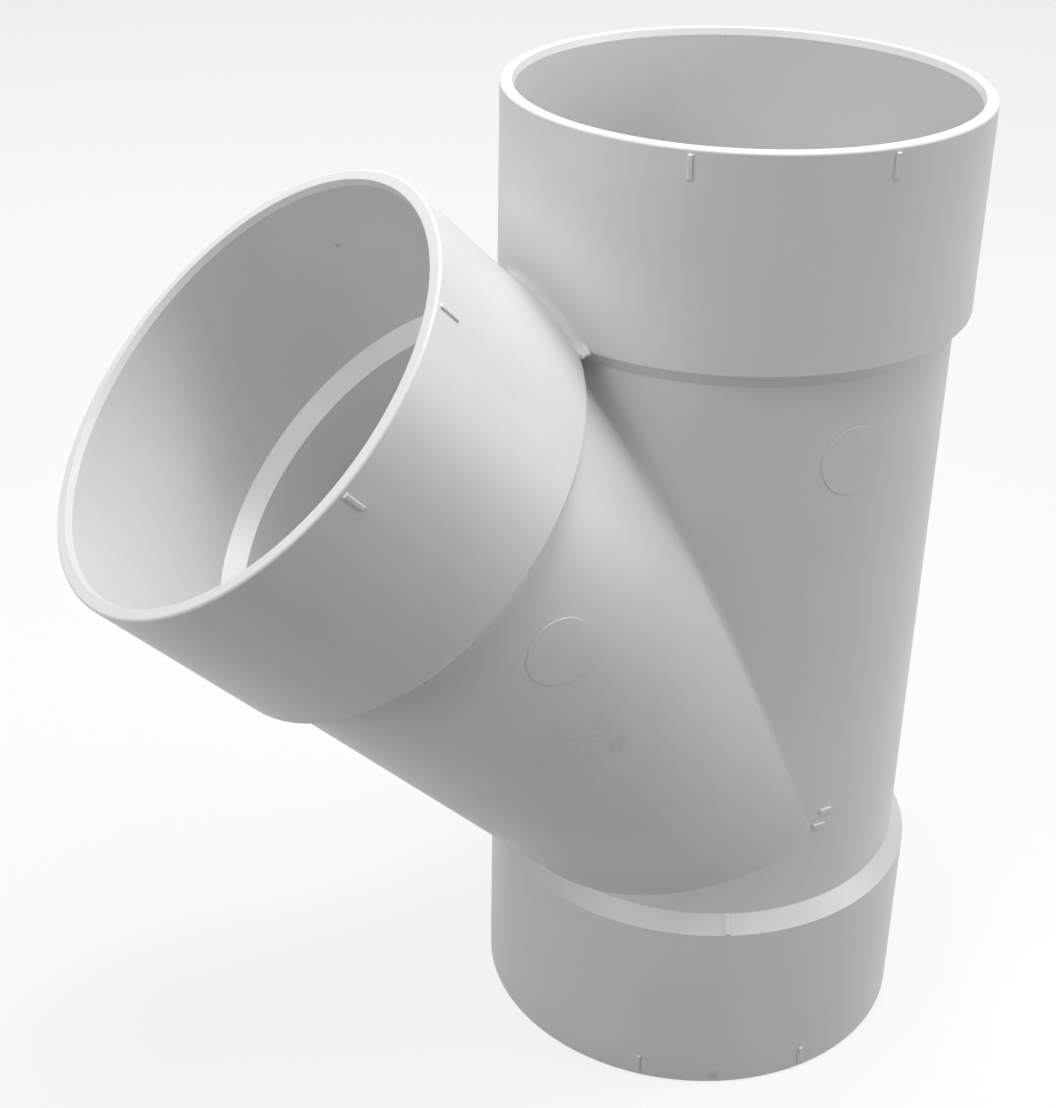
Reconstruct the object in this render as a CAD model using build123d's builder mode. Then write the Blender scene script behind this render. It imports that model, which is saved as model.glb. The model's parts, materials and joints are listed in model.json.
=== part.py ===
from build123d import *
from math import atan2, degrees
import os

# Lateral wye for 6 in gravity sewer pipe: a straight run with a 45 degree branch of
# the same bore, moulded in one piece, with a plain solvent-weld socket on each end.
# The origin is the centre of the lower rim, +Z runs up the run, and the branch
# leans towards -X.

# Driving dimensions, mm
PIPE_DIAMETER = 159.4
SOCKET_CLEARANCE = 0.2
HUB_WALL = 5.1
BODY_RADIUS = 79.3
BODY_WALL = 5.2
CROSSING_HEIGHT = 108.5
ARM_LENGTH = 267.0
BRANCH_ANGLE = 45.0

HUB_LENGTH = 73.5
SOCKET_DEPTH = 72.0
SHOULDER_LENGTH = 6.0
ENTRY_DEPTH = 2.4
ENTRY_FLARE = 0.9
RIM_ROUNDING = 1.0
CREASE_FILLET = 3.0

# Raised marks from the mould
MARK_ROOT = 1.0
MARK_ROUNDING = 0.4
TICK_SIZE = (0.7, 1.7, 8.2)
TICK_FROM_RIM = 1.8
TICK_SPACING = 45.0
SHOULDER_TICK_SIZE = (0.8, 2.0, 7.8)
SHOULDER_TICK_ANGLE = 114.0
PAD_RADIUS = 12.5
PAD_PROUD = 0.25
PAD_FROM_CROSSING = 157.5
DASH_SIZE = (0.9, 5.0, 2.0)
DASH_PLACES = ((1.4, 6.0), (3.9, 12.0))

# Derived sizes
SOCKET_RADIUS = PIPE_DIAMETER / 2 + SOCKET_CLEARANCE
HUB_RADIUS = SOCKET_RADIUS + HUB_WALL
BORE_RADIUS = BODY_RADIUS - BODY_WALL
RUN_LENGTH = CROSSING_HEIGHT + ARM_LENGTH
SHOULDER_RISE = HUB_RADIUS - BODY_RADIUS
SHOULDER_TILT = degrees(atan2(SHOULDER_RISE, SHOULDER_LENGTH))

# Each end is a plane on its rim, with its normal out of the mouth
crossing = Plane.XY.offset(CROSSING_HEIGHT)
branch_root = crossing.rotated((0, -BRANCH_ANGLE, 0))
lower_end = Plane(origin=(0, 0, 0), x_dir=(1, 0, 0), z_dir=(0, 0, -1))
upper_end = Plane(origin=(0, 0, RUN_LENGTH), x_dir=(1, 0, 0), z_dir=(0, 0, 1))
branch_end = branch_root.offset(ARM_LENGTH)

# End plane, distance from rim to crossing, and the side that faces the crotch
ENDS = (
    (lower_end, CROSSING_HEIGHT, 180.0),
    (upper_end, ARM_LENGTH, 180.0),
    (branch_end, ARM_LENGTH, 0.0),
)


def turned(end, outline):
    """Solid of revolution about an end's axis, from (radius, height above rim) points."""
    with BuildPart(mode=Mode.PRIVATE) as solid:
        with BuildSketch(Plane(end.origin, x_dir=end.x_dir, z_dir=-end.y_dir)):
            with BuildLine():
                Polyline(*outline, close=True)
            make_face()
        revolve(axis=Axis(end.origin, end.z_dir))
    return solid.part


def hub_skin(end, reach):
    """Outside of one arm: hub, conical shoulder and body, from the rim to the crossing."""
    outline = (
        (0, 0),
        (HUB_RADIUS, 0),
        (HUB_RADIUS, -HUB_LENGTH),
        (BODY_RADIUS, -HUB_LENGTH - SHOULDER_LENGTH),
        (BODY_RADIUS, -reach),
        (0, -reach),
    )
    with BuildPart(mode=Mode.PRIVATE) as skin:
        add(turned(end, outline))
        rim = skin.faces().sort_by(Axis(end.origin, end.z_dir))[-1]
        fillet(rim.edges(), RIM_ROUNDING)
    return skin.part


def waterway(end, reach):
    """Inside of one arm: entry bevel, straight socket, sloping pipe stop and bore."""
    outline = (
        (0, 0),
        (SOCKET_RADIUS + ENTRY_FLARE, 0),
        (SOCKET_RADIUS, -ENTRY_DEPTH),
        (SOCKET_RADIUS, -SOCKET_DEPTH),
        (BORE_RADIUS, -SOCKET_DEPTH - SHOULDER_LENGTH),
        (BORE_RADIUS, -reach),
        (0, -reach),
    )
    return turned(end, outline)


def mark(size, frame, turn, radius, height, tilt=0.0):
    """Raised bar with soft edges on a round surface: proud, width and length."""
    proud, width, length = size
    around = frame.location * Location((0, 0, 0), (0, 0, turn))
    place = around * Location((radius, 0, height), (0, tilt, 0))
    with BuildPart(mode=Mode.PRIVATE) as bar:
        with Locations(((proud - MARK_ROOT) / 2, 0, 0)):
            Box(proud + MARK_ROOT, width, length)
        fillet(bar.faces().sort_by(Axis.X)[-1].edges(), MARK_ROUNDING)
    return bar.part.moved(place)


def hub_ticks(end, crotch_side):
    """Alignment ticks by the rim: square to the branch plane and one step to the crotch."""
    height = -TICK_FROM_RIM - TICK_SIZE[2] / 2
    turns = (90, -90, crotch_side + TICK_SPACING, crotch_side - TICK_SPACING)
    return [mark(TICK_SIZE, end, turn, HUB_RADIUS, height) for turn in turns]


def shoulder_ticks():
    """Short bar across the lower shoulder, one on each side."""
    radius = BODY_RADIUS + SHOULDER_RISE / 2
    height = -HUB_LENGTH - SHOULDER_LENGTH / 2
    turns = (SHOULDER_TICK_ANGLE, -SHOULDER_TICK_ANGLE)
    return [
        mark(SHOULDER_TICK_SIZE, lower_end, turn, radius, height, SHOULDER_TILT)
        for turn in turns
    ]


def side_dashes():
    """Pair of small dashes beside the crossing, where the crease runs out."""
    dashes = []
    for across, up in DASH_PLACES:
        for side in (90, -90):
            lean = side - side / 90 * degrees(across / BODY_RADIUS)
            dashes.append(mark(DASH_SIZE, crossing, lean, BODY_RADIUS, up))
    return dashes


def round_pads(frame):
    """Round mould-insert pads on both sides of an arm, a hair proud of the body."""
    with BuildPart(mode=Mode.PRIVATE) as pads:
        with BuildSketch(frame):
            Circle(BODY_RADIUS + PAD_PROUD)
            Circle(BODY_RADIUS - MARK_ROOT, mode=Mode.SUBTRACT)
        extrude(amount=PAD_FROM_CROSSING + PAD_RADIUS)
        centre = frame.offset(PAD_FROM_CROSSING).origin
        with BuildSketch(Plane(centre, x_dir=frame.x_dir, z_dir=frame.y_dir)):
            Circle(PAD_RADIUS)
        extrude(amount=HUB_RADIUS, both=True, mode=Mode.INTERSECT)
    return pads.part


def off_bisector(point):
    """Distance of a point from the plane that halves the angle between the arms."""
    along = Vector(1, 0, 0).rotate(Axis.Y, -BRANCH_ANGLE / 2)
    return abs((point - crossing.origin).dot(along))


with BuildPart() as wye_fitting:
    for end, reach, crotch_side in ENDS:
        add(hub_skin(end, reach))
    crease = wye_fitting.edges().filter_by(
        lambda edge: off_bisector(edge @ 0.5) < 0.5 and (edge @ 0.5).Z > CROSSING_HEIGHT + 5
    )
    fillet(crease, CREASE_FILLET)

    for end, reach, crotch_side in ENDS:
        add(hub_ticks(end, crotch_side))
    add(shoulder_ticks())
    add(side_dashes())
    add(round_pads(crossing))
    add(round_pads(branch_root))

    for end, reach, crotch_side in ENDS:
        add(waterway(end, reach), mode=Mode.SUBTRACT)

wye_fitting.part.label = "wye_fitting"
os.makedirs("parts", exist_ok=True)
export_step(wye_fitting.part, "parts/wye_fitting.step")
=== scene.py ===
import json
from math import cos, radians, sin

import bpy
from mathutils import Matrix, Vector


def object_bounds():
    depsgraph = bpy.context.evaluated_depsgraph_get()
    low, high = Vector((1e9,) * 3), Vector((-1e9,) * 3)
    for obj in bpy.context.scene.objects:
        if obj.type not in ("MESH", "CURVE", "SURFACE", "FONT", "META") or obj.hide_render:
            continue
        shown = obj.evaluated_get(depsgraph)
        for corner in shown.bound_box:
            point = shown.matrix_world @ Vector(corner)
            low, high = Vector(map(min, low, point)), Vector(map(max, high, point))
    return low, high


bl_info = {
    "name": "Lateral Wye Fitting",
    "version": (1, 0, 0),
    "blender": (4, 5, 0),
    "location": "3D View > Sidebar > Wye",
    "description": "Finishes and stages a moulded white plastic lateral wye fitting",
    "category": "Object",
}

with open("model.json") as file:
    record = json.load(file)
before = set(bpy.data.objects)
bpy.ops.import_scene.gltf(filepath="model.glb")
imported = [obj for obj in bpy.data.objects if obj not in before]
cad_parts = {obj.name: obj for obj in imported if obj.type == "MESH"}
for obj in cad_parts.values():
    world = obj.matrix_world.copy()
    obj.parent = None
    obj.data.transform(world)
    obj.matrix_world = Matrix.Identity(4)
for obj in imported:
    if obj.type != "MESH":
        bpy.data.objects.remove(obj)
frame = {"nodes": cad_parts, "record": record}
CAD_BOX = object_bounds()
NODE = "wye_fitting"

# Sizes of the fitting, in metres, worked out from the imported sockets
MOUNTS = {mount["name"]: mount for mount in frame["record"]["mounts"]}
SOCKET_RADIUS = MOUNTS["upper_socket"]["dims"]["r_mm"] / 1000
HUB_RADIUS = CAD_BOX[1].x
RUN_LENGTH = CAD_BOX[1].z
BRANCH_AXIS = Vector(MOUNTS["branch_socket"]["axis"]).normalized()
BRANCH_POINT = Vector(MOUNTS["branch_socket"]["pos_m"])
CROSSING = BRANCH_POINT - BRANCH_AXIS * (BRANCH_POINT.x / BRANCH_AXIS.x)

# The pipe body between the hubs, as a share of the hub's radius
BODY_SHARE = 0.925

# Colours that the marks lean to, and how far each one goes there, from 0 to 1
SHADE_SHARE = 0.93
WARM_SHARES = (0.97, 0.965, 0.94)
DIRT_COLOUR = (0.18, 0.17, 0.15, 1.0)
STREAK_TINT = 0.35
RUB_TINT = 0.22
SPECK_TINT = 0.4

# How much duller the clouds and the rubs are than the clean skin
CLOUD_DULLNESS = 0.08
RUB_DULLNESS = 0.07

# Relief of the skin: what each pattern adds, and how deep the whole is in metres
GRAIN_RELIEF = 0.25
STREAK_RELIEF = 0.35
CLOUD_RELIEF = 0.6
RELIEF_STRENGTH = 0.25
RELIEF_DEPTH = 0.0002
PLASTIC_IOR = 1.5

# Lamps: name, place from the fitting's middle, size and power in watts
LAMPS = (
    ("wide_overhead", (0.45, -0.3, 1.6), 1.2, 11),
    ("small_overhead", (0.0, -0.05, 1.8), 0.6, 6),
    ("over_run", (0.15, 0.0, 1.0), 0.25, 3),
    ("left_high", (-1.2, -0.3, 1.0), 0.9, 9),
    ("left_low", (-1.5, 0.25, 0.05), 0.5, 1.5),
    ("right_side", (1.3, -0.9, 0.5), 0.6, 7),
    ("back_fill", (0.2, 1.3, 0.9), 1.0, 4),
)

# The floor lies this far under the lower rim, so that the two don't flicker
FLOOR_GAP = 0.0005
FLOOR_SIZE = 12.0


class NodeBoard:
    """Adds nodes to one tree and links them, so that a material reads from left to right."""

    def __init__(self, tree):
        self.tree = tree
        self.column = 0

    def add(self, kind, **settings):
        node = self.tree.nodes.new(kind)
        node.location = (self.column, 0)
        self.column += 180
        for name, value in settings.items():
            setattr(node, name, value)
        return node

    def link(self, source, target):
        self.tree.links.new(source, target)

    def feed(self, socket, value):
        """Links a socket to the target, or writes a plain value on it."""
        if isinstance(value, bpy.types.NodeSocket):
            self.link(value, socket)
        else:
            socket.default_value = value

    def math(self, operation, first, second=0.0):
        node = self.add("ShaderNodeMath", operation=operation)
        self.feed(node.inputs[0], first)
        self.feed(node.inputs[1], second)
        return node.outputs[0]

    def ramp(self, value, low, high, to_low=0.0, to_high=1.0):
        """Smooth step of a value from low to high."""
        node = self.add("ShaderNodeMapRange", interpolation_type="SMOOTHSTEP")
        self.feed(node.inputs["Value"], value)
        self.feed(node.inputs["From Min"], low)
        self.feed(node.inputs["From Max"], high)
        self.feed(node.inputs["To Min"], to_low)
        self.feed(node.inputs["To Max"], to_high)
        return node.outputs["Result"]

    def noise(self, vector, scale, detail=3.0, roughness=0.5):
        node = self.add("ShaderNodeTexNoise")
        self.feed(node.inputs["Vector"], vector)
        self.feed(node.inputs["Scale"], scale)
        self.feed(node.inputs["Detail"], detail)
        self.feed(node.inputs["Roughness"], roughness)
        return node.outputs["Fac"]

    def mix_colour(self, factor, first, second):
        node = self.add("ShaderNodeMix", data_type="RGBA")
        self.feed(node.inputs["Factor"], factor)
        self.feed(node.inputs["A"], first)
        self.feed(node.inputs["B"], second)
        return node.outputs["Result"]


def new_group(name, inputs, outputs):
    """Shader node group with named sockets, and the board to fill it on."""
    tree = bpy.data.node_groups.new(name, "ShaderNodeTree")
    for socket, kind, default in inputs:
        made = tree.interface.new_socket(socket, in_out="INPUT", socket_type=kind)
        if default is not None:
            made.default_value = default
    for socket, kind in outputs:
        tree.interface.new_socket(socket, in_out="OUTPUT", socket_type=kind)
    board = NodeBoard(tree)
    source = board.add("NodeGroupInput")
    result = board.add("NodeGroupOutput")
    return tree, board, source.outputs, result.inputs


def moulded_skin_group():
    """Slow shade changes, flow streaks and fine grain of a moulded plastic skin."""
    tree, board, given, out = new_group(
        "Moulded Skin",
        (
            ("Vector", "NodeSocketVector", None),
            ("Cloud Scale", "NodeSocketFloat", 9.0),
            ("Grain Scale", "NodeSocketFloat", 700.0),
            ("Streak Stretch", "NodeSocketFloat", 6.0),
        ),
        (("Clouds", "NodeSocketFloat"), ("Streaks", "NodeSocketFloat"), ("Grain", "NodeSocketFloat")),
    )
    clouds = board.noise(given["Vector"], given["Cloud Scale"], detail=4.0)
    board.link(board.ramp(clouds, 0.3, 0.7), out["Clouds"])

    apart = board.add("ShaderNodeSeparateXYZ")
    board.link(given["Vector"], apart.inputs[0])
    squeezed = board.add("ShaderNodeCombineXYZ")
    board.link(apart.outputs["X"], squeezed.inputs["X"])
    board.link(apart.outputs["Y"], squeezed.inputs["Y"])
    board.link(board.math("DIVIDE", apart.outputs["Z"], given["Streak Stretch"]), squeezed.inputs["Z"])
    streaks = board.noise(squeezed.outputs[0], 90.0, detail=3.0, roughness=0.6)
    board.link(board.ramp(streaks, 0.35, 0.75), out["Streaks"])

    grain = board.noise(given["Vector"], given["Grain Scale"], detail=2.0, roughness=0.6)
    board.link(grain, out["Grain"])
    return tree


def specks_group():
    """Sparse dark specks: a mask that is 1 in a speck and 0 elsewhere."""
    tree, board, given, out = new_group(
        "Specks",
        (
            ("Vector", "NodeSocketVector", None),
            ("Scale", "NodeSocketFloat", 60.0),
            ("Size", "NodeSocketFloat", 0.08),
            ("Share", "NodeSocketFloat", 0.05),
        ),
        (("Mask", "NodeSocketFloat"),),
    )
    cells = board.add("ShaderNodeTexVoronoi", feature="F1")
    board.link(given["Vector"], cells.inputs["Vector"])
    board.link(given["Scale"], cells.inputs["Scale"])
    dot = board.math("LESS_THAN", cells.outputs["Distance"], given["Size"])
    pick = board.add("ShaderNodeSeparateColor")
    board.link(cells.outputs["Color"], pick.inputs[0])
    chosen = board.math("LESS_THAN", pick.outputs[0], given["Share"])
    board.link(board.math("MULTIPLY", dot, chosen), out["Mask"])
    return tree


def wear_group():
    """Rubbed and handled spots: soft patches broken up by finer noise."""
    tree, board, given, out = new_group(
        "Handling Marks",
        (
            ("Vector", "NodeSocketVector", None),
            ("Patch Scale", "NodeSocketFloat", 22.0),
            ("Cover", "NodeSocketFloat", 0.6),
        ),
        (("Mask", "NodeSocketFloat"),),
    )
    patches = board.noise(given["Vector"], given["Patch Scale"], detail=5.0, roughness=0.62)
    edge = board.math("ADD", given["Cover"], 0.12)
    board.link(board.ramp(patches, given["Cover"], edge), out["Mask"])
    return tree


def spot_group():
    """One mark at a set place: it fades softly to 0 at its edge, and fine mottling breaks it up."""
    tree, board, given, out = new_group(
        "Spot",
        (
            ("Vector", "NodeSocketVector", None),
            ("Centre", "NodeSocketVector", None),
            ("Radius", "NodeSocketFloat", 0.005),
            ("Mottling", "NodeSocketFloat", 0.5),
        ),
        (("Mask", "NodeSocketFloat"),),
    )
    away = board.add("ShaderNodeVectorMath", operation="DISTANCE")
    board.link(given["Vector"], away.inputs[0])
    board.link(given["Centre"], away.inputs[1])
    share = board.math("DIVIDE", away.outputs["Value"], given["Radius"])
    bend = board.math("SUBTRACT", board.noise(given["Vector"], 120.0, detail=2.0), 0.5)
    share = board.math("ADD", share, bend)
    disc = board.ramp(share, 0.25, 1.0, 1.0, 0.0)
    gaps = board.ramp(board.noise(given["Vector"], 520.0, detail=3.0, roughness=0.6), 0.35, 0.65)
    gaps = board.math("MULTIPLY", gaps, given["Mottling"])
    board.link(board.math("MULTIPLY", disc, board.math("SUBTRACT", 1.0, gaps)), out["Mask"])
    return tree


def on_arm(axis, along, turn, radius):
    """Point on a round arm: along its axis from the crossing, and turned about it from the crotch side."""
    across = Vector((0, 1, 0))
    level = across.cross(axis).normalized()
    around = level * cos(turn) + across * sin(turn)
    return CROSSING + axis * along + around * radius


def use_group(board, tree, vector, **values):
    node = board.add("ShaderNodeGroup", node_tree=tree)
    board.link(vector, node.inputs["Vector"])
    for name, value in values.items():
        node.inputs[name.replace("_", " ")].default_value = value
    return node.outputs


def spots():
    """Dirt specks and handling smudges: centre, radius, mottling and strength."""
    up = Vector((0, 0, 1))
    body = HUB_RADIUS * BODY_SHARE
    return (
        (on_arm(BRANCH_AXIS, 0.24, radians(45), SOCKET_RADIUS), 0.002, 0.0, 0.35),
        (on_arm(BRANCH_AXIS, 0.11, radians(-100), body), 0.006, 0.5, 0.13),
        (on_arm(BRANCH_AXIS, 0.12, radians(-110), body), 0.025, 1.0, 0.08),
        (on_arm(BRANCH_AXIS, 0.16, radians(-95), body), 0.007, 0.8, 0.05),
        (on_arm(BRANCH_AXIS, 0.23, radians(-50), HUB_RADIUS), 0.003, 0.3, 0.06),
        (on_arm(up, 0.24, radians(-170), HUB_RADIUS), 0.003, 0.3, 0.06),
        (on_arm(up, -0.105, radians(-115), HUB_RADIUS), 0.003, 0.2, 0.30),
        (on_arm(up, 0.16, radians(-90), body), 0.012, 1.0, 0.04),
    )


def white_plastic(props):
    """White rigid plastic: dull satin skin with faint clouds, streaks, rubs and specks."""
    material = bpy.data.materials.new("white_plastic")
    material.use_nodes = True
    material.node_tree.nodes.clear()
    board = NodeBoard(material.node_tree)
    place = board.add("ShaderNodeTexCoord").outputs["Object"]
    skin = use_group(board, moulded_skin_group(), place)
    rubs = use_group(board, wear_group(), place, Patch_Scale=26.0, Cover=0.58)
    specks = use_group(board, specks_group(), place, Scale=55.0, Size=0.03, Share=0.05)

    base = tuple(props.plastic_colour)
    shade = tuple(SHADE_SHARE * channel for channel in base[:3]) + (1.0,)
    warm = tuple(share * channel for share, channel in zip(WARM_SHARES, base)) + (1.0,)
    colour = board.mix_colour(skin["Clouds"], base, shade)
    colour = board.mix_colour(board.math("MULTIPLY", skin["Streaks"], STREAK_TINT), colour, warm)
    colour = board.mix_colour(board.math("MULTIPLY", rubs["Mask"], RUB_TINT), colour, shade)
    colour = board.mix_colour(board.math("MULTIPLY", specks["Mask"], SPECK_TINT), colour, DIRT_COLOUR)

    spot = spot_group()
    for centre, radius, mottling, strength in spots():
        values = {"Centre": centre, "Radius": radius, "Mottling": mottling}
        mask = use_group(board, spot, place, **values)["Mask"]
        colour = board.mix_colour(board.math("MULTIPLY", mask, strength), colour, DIRT_COLOUR)

    rough = board.math("MULTIPLY_ADD", skin["Clouds"], CLOUD_DULLNESS)
    rough.node.inputs[2].default_value = props.roughness
    rough = board.math("ADD", rough, board.math("MULTIPLY", rubs["Mask"], RUB_DULLNESS))

    height = board.math("MULTIPLY", skin["Grain"], GRAIN_RELIEF)
    height = board.math("ADD", height, board.math("MULTIPLY", skin["Streaks"], STREAK_RELIEF))
    height = board.math("ADD", height, board.math("MULTIPLY", skin["Clouds"], CLOUD_RELIEF))
    bump = board.add("ShaderNodeBump")
    bump.inputs["Strength"].default_value = RELIEF_STRENGTH
    bump.inputs["Distance"].default_value = RELIEF_DEPTH
    board.link(height, bump.inputs["Height"])

    shader = board.add("ShaderNodeBsdfPrincipled")
    board.link(colour, shader.inputs["Base Color"])
    board.link(rough, shader.inputs["Roughness"])
    board.link(bump.outputs["Normal"], shader.inputs["Normal"])
    shader.inputs["IOR"].default_value = PLASTIC_IOR
    shader.inputs["Subsurface Weight"].default_value = 0.0
    output = board.add("ShaderNodeOutputMaterial")
    board.link(shader.outputs["BSDF"], output.inputs["Surface"])
    return material


def pale_floor(props):
    """Floor that reads as near white to the camera and to gloss, and keeps its shadow."""
    material = bpy.data.materials.new("pale_floor")
    material.use_nodes = True
    material.node_tree.nodes.clear()
    board = NodeBoard(material.node_tree)
    place = board.add("ShaderNodeTexCoord").outputs["Object"]
    haze = board.noise(place, 3.0, detail=2.0)
    colour = board.mix_colour(haze, (0.84, 0.84, 0.84, 1.0), (0.88, 0.88, 0.88, 1.0))
    paper = board.add("ShaderNodeBsdfPrincipled")
    board.link(colour, paper.inputs["Base Color"])
    paper.inputs["Roughness"].default_value = 0.9
    glow = board.add("ShaderNodeEmission")
    glow.inputs["Color"].default_value = (1.0, 1.0, 1.0, 1.0)
    seen = board.add("ShaderNodeMixShader")
    seen.inputs["Fac"].default_value = props.floor_glow
    board.link(paper.outputs["BSDF"], seen.inputs[1])
    board.link(glow.outputs["Emission"], seen.inputs[2])
    dull = board.add("ShaderNodeBsdfDiffuse")
    dull.inputs["Color"].default_value = (props.floor_bounce,) * 3 + (1.0,)
    path = board.add("ShaderNodeLightPath")
    shown = board.math("MAXIMUM", path.outputs["Is Camera Ray"], path.outputs["Is Glossy Ray"])
    pick = board.add("ShaderNodeMixShader")
    board.link(shown, pick.inputs["Fac"])
    board.link(dull.outputs["BSDF"], pick.inputs[1])
    board.link(seen.outputs["Shader"], pick.inputs[2])
    output = board.add("ShaderNodeOutputMaterial")
    board.link(pick.outputs["Shader"], output.inputs["Surface"])
    return material


class WyeFinishProps(bpy.types.PropertyGroup):
    plastic_colour: bpy.props.FloatVectorProperty(
        name="Plastic colour",
        description="Colour of the moulded plastic",
        subtype="COLOR",
        size=4,
        min=0.0,
        max=1.0,
        default=(0.77, 0.775, 0.775, 1.0),
    )
    roughness: bpy.props.FloatProperty(
        name="Roughness",
        description="How dull the plastic's skin is",
        default=0.34,
        min=0.0,
        max=1.0,
        subtype="FACTOR",
    )


class WyeStageProps(bpy.types.PropertyGroup):
    camera_place: bpy.props.FloatVectorProperty(
        name="Camera place",
        description="Where the camera stands, from the centre of the lower rim",
        subtype="TRANSLATION",
        unit="LENGTH",
        default=(-0.3734, -0.5441, 0.5417),
    )
    camera_turn: bpy.props.FloatVectorProperty(
        name="Camera turn",
        description="Camera's tilt up, roll and heading",
        subtype="EULER",
        unit="ROTATION",
        default=(radians(61.82), radians(-0.958), radians(-27.675)),
    )
    lens: bpy.props.FloatProperty(
        name="Lens",
        description="Focal length on a 36 mm film, in millimetres",
        default=62.24,
        min=10.0,
        max=300.0,
        unit="CAMERA",
    )
    floor_glow: bpy.props.FloatProperty(
        name="Floor glow",
        description="How far the floor is lifted to plain white in the view",
        default=0.8,
        min=0.0,
        max=1.0,
        subtype="FACTOR",
    )
    floor_bounce: bpy.props.FloatProperty(
        name="Floor bounce",
        description="Share of the light that the floor throws back on the fitting",
        default=0.32,
        min=0.0,
        max=1.0,
        subtype="FACTOR",
    )
    world_strength: bpy.props.FloatProperty(
        name="Room light",
        description="Strength of the even light from all round",
        default=0.12,
        min=0.0,
        max=3.0,
    )


class WYE_OT_finish_fitting(bpy.types.Operator):
    """Gives the moulded fitting its white plastic"""

    bl_idname = "wye.finish_fitting"
    bl_label = "Finish Fitting"

    def execute(self, context):
        fitting = frame["nodes"][NODE]
        material = white_plastic(context.scene.wye_finish)
        if not fitting.material_slots:
            fitting.data.materials.append(material)
        for slot in fitting.material_slots:
            slot.material = material
        return {"FINISHED"}


class WYE_OT_set_stage(bpy.types.Operator):
    """Sets the floor, the lamps, the room light and the camera"""

    bl_idname = "wye.set_stage"
    bl_label = "Set Stage"

    def execute(self, context):
        props = context.scene.wye_stage
        self.add_floor(props)
        self.add_lamps(context)
        self.set_world(context, props)
        self.add_camera(context, props)
        context.scene.view_settings.view_transform = "Standard"
        return {"FINISHED"}

    def add_floor(self, props):
        bpy.ops.object.select_all(action="DESELECT")
        bpy.ops.mesh.primitive_plane_add(size=FLOOR_SIZE, location=(0, 0, CAD_BOX[0].z - FLOOR_GAP))
        floor = bpy.context.object
        floor.name = "floor"
        floor.data.materials.append(pale_floor(props))

    def add_lamps(self, context):
        middle = Vector((CAD_BOX[0].x / 3, 0.0, RUN_LENGTH / 2))
        for name, place, size, power in LAMPS:
            data = bpy.data.lights.new(name, "AREA")
            data.size = size
            data.energy = power
            lamp = bpy.data.objects.new(name, data)
            lamp.location = middle + Vector(place)
            lamp.rotation_euler = (-Vector(place)).to_track_quat("-Z", "Y").to_euler()
            context.scene.collection.objects.link(lamp)

    def set_world(self, context, props):
        world = bpy.data.worlds.new("soft_room")
        world.use_nodes = True
        world.node_tree.nodes.clear()
        board = NodeBoard(world.node_tree)
        path = board.add("ShaderNodeLightPath")
        room = board.add("ShaderNodeBackground")
        room.inputs["Color"].default_value = (1, 1, 1, 1)
        room.inputs["Strength"].default_value = props.world_strength
        seen = board.add("ShaderNodeBackground")
        seen.inputs["Color"].default_value = (1, 1, 1, 1)
        seen.inputs["Strength"].default_value = 1.0
        shown = board.math("MAXIMUM", path.outputs["Is Camera Ray"], path.outputs["Is Glossy Ray"])
        pick = board.add("ShaderNodeMixShader")
        board.link(shown, pick.inputs["Fac"])
        board.link(room.outputs[0], pick.inputs[1])
        board.link(seen.outputs[0], pick.inputs[2])
        output = board.add("ShaderNodeOutputWorld")
        board.link(pick.outputs[0], output.inputs["Surface"])
        context.scene.world = world

    def add_camera(self, context, props):
        data = bpy.data.cameras.new("camera")
        data.lens = props.lens
        data.clip_start = 0.01
        camera = bpy.data.objects.new("camera", data)
        camera.location = props.camera_place
        camera.rotation_euler = props.camera_turn
        context.scene.collection.objects.link(camera)
        context.scene.camera = camera


class WYE_PT_sidebar(bpy.types.Panel):
    bl_idname = "WYE_PT_sidebar"
    bl_label = "Lateral Wye"
    bl_space_type = "VIEW_3D"
    bl_region_type = "UI"
    bl_category = "Wye"

    def draw(self, context):
        layout = self.layout
        layout.operator(WYE_OT_finish_fitting.bl_idname)
        layout.prop(context.scene.wye_finish, "plastic_colour")
        layout.prop(context.scene.wye_finish, "roughness")
        layout.operator(WYE_OT_set_stage.bl_idname)
        layout.prop(context.scene.wye_stage, "lens")
        layout.prop(context.scene.wye_stage, "floor_glow")
        layout.prop(context.scene.wye_stage, "floor_bounce")
        layout.prop(context.scene.wye_stage, "world_strength")


CLASSES = (
    WyeFinishProps,
    WyeStageProps,
    WYE_OT_finish_fitting,
    WYE_OT_set_stage,
    WYE_PT_sidebar,
)


def register():
    for cls in CLASSES:
        bpy.utils.register_class(cls)
    bpy.types.Scene.wye_finish = bpy.props.PointerProperty(type=WyeFinishProps)
    bpy.types.Scene.wye_stage = bpy.props.PointerProperty(type=WyeStageProps)


def unregister():
    del bpy.types.Scene.wye_stage
    del bpy.types.Scene.wye_finish
    for cls in reversed(CLASSES):
        bpy.utils.unregister_class(cls)


def main():
    register()
    bpy.ops.wye.finish_fitting()
    bpy.ops.wye.set_stage()


if __name__ == "__main__":
    main()
